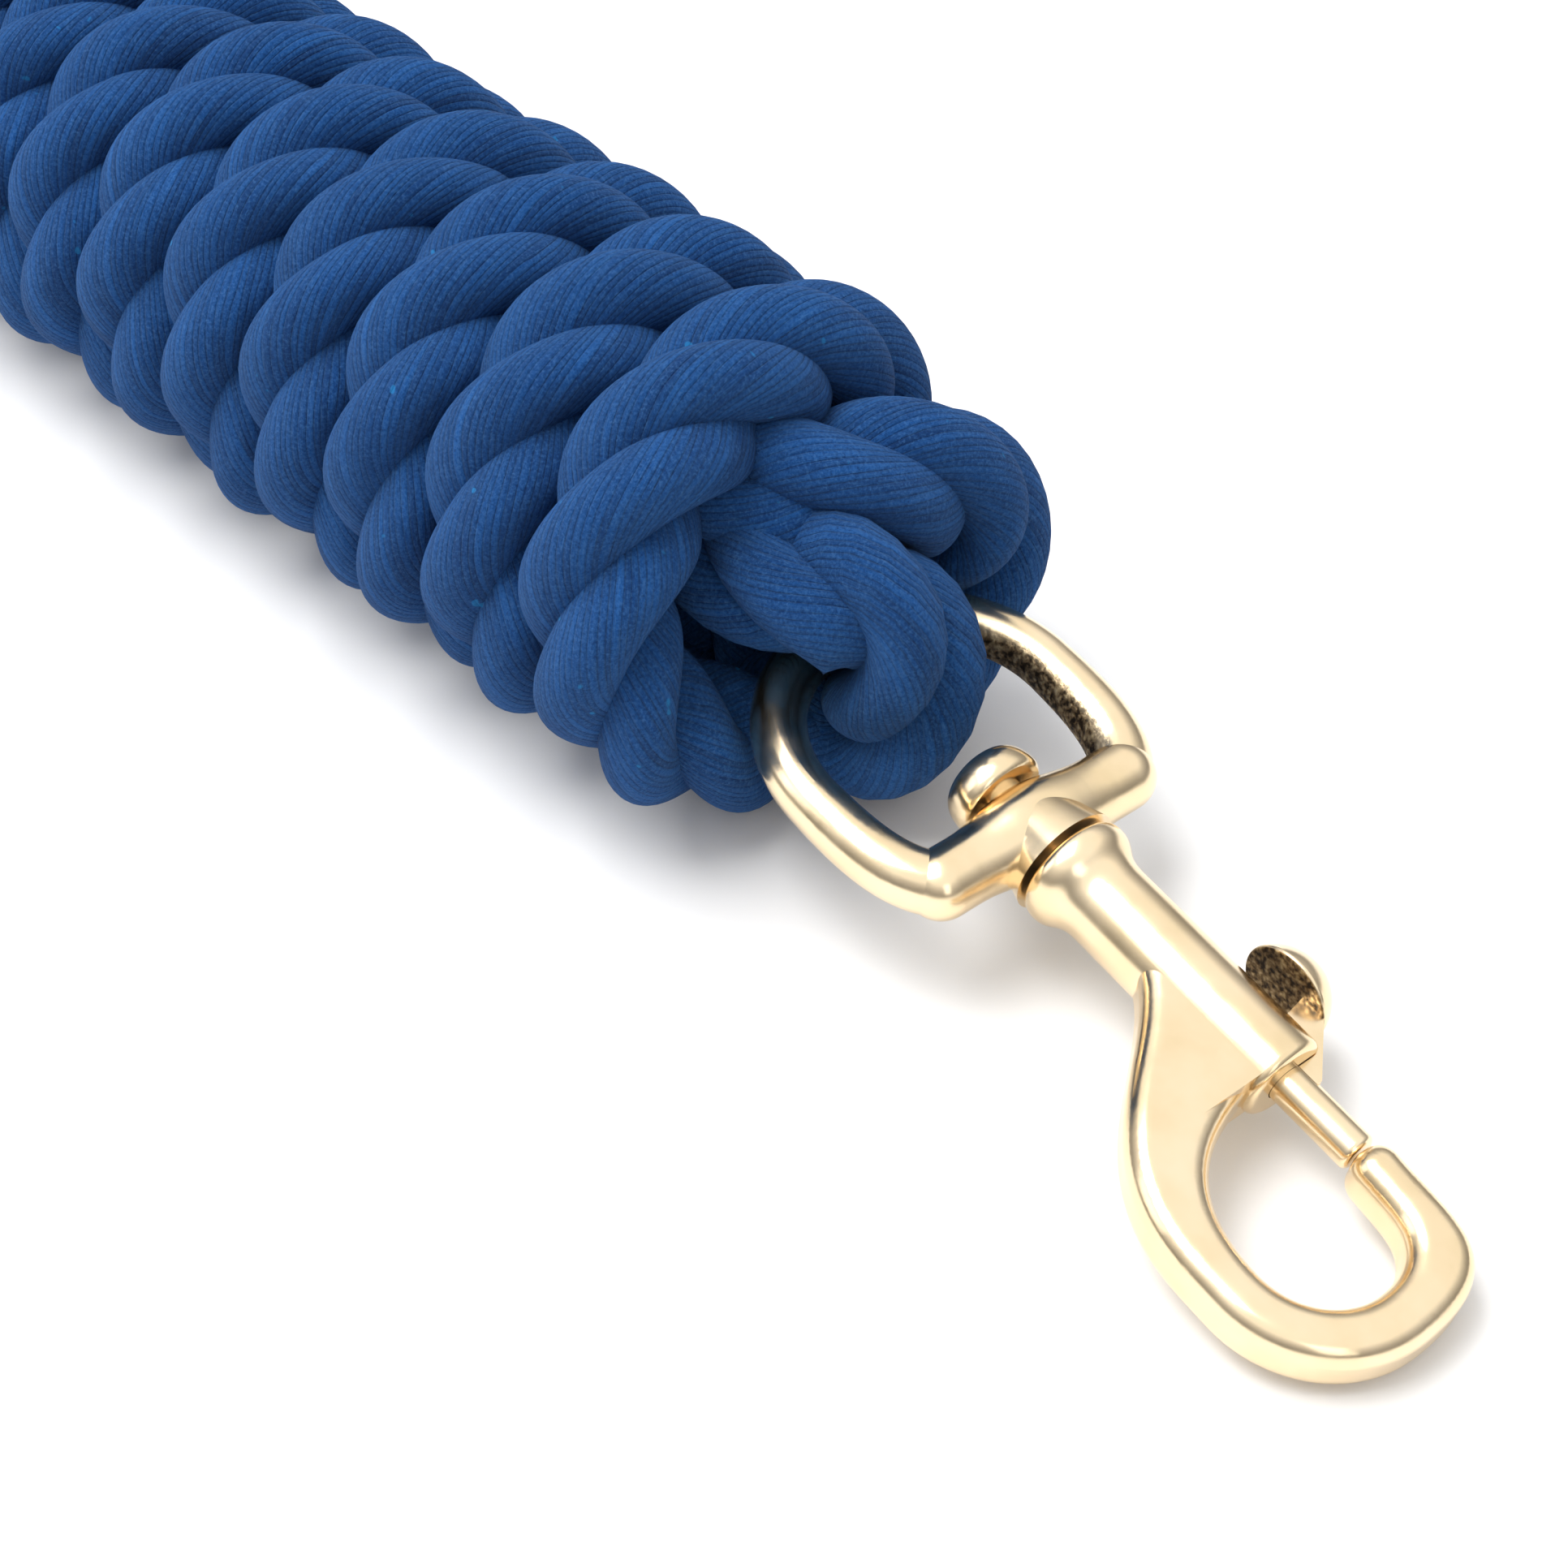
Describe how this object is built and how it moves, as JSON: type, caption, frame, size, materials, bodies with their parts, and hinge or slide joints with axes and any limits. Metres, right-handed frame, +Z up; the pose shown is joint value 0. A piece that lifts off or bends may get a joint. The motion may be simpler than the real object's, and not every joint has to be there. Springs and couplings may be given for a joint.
{
  "type": "cotton lead rope hank with swivel bolt snap",
  "caption": "Three-strand cotton lead rope wound into a tight hank, with a polished brass swivel-eye bolt snap held in its rope eye.",
  "frame": {"origin": "middle of the hank's flat underside, on the surface it rests on", "axes": "+X along the hank towards the snap, +Z up from the surface, +Y across"},
  "size_m": [0.447, 0.1155, 0.064],
  "materials": {
    "cotton_rope": "matt dyed cotton yarn",
    "whipping_twine": "waxed twine",
    "polished_brass": "polished, pale gold",
    "bolt_brass": "polished, with a rough cast underside on the thumb piece",
    "spring_steel": "drawn spring wire"
  },
  "bodies": {
    "root": {"rope_hank": "cotton_rope", "rope_eye_loop": "cotton_rope", "rope_far_bight": "cotton_rope", "rope_tail": "cotton_rope", "end_whipping": "whipping_twine"},
    "eye": {"swivel_eye": "polished_brass"},
    "hook": {"hook_body": "polished_brass", "bolt_spring": "spring_steel"},
    "bolt": {"bolt_plunger": "bolt_brass"}
  },
  "joints": [
    {"name": "eye_turn", "type": "hinge", "parent": "root", "child": "eye", "pos_m": [0.15546, -0.00107, 0.01965], "axis": [0.175, -0.0132, 0.9845], "range_deg": [-30, 30]},
    {"name": "swivel_spin", "type": "hinge", "parent": "eye", "child": "hook", "pos_m": [0.17863, -0.00281, 0.01551], "axis": [-0.9817, 0.0738, 0.1755], "continuous": true},
    {"name": "bolt_slide", "type": "slide", "parent": "hook", "child": "bolt", "axis": [-0.9817, 0.0738, 0.1755], "range_m": [0, 0.01], "stiffness_N_per_m": 200, "springref_m": -0.015, "deforming": ["bolt_spring"]}
  ]
}
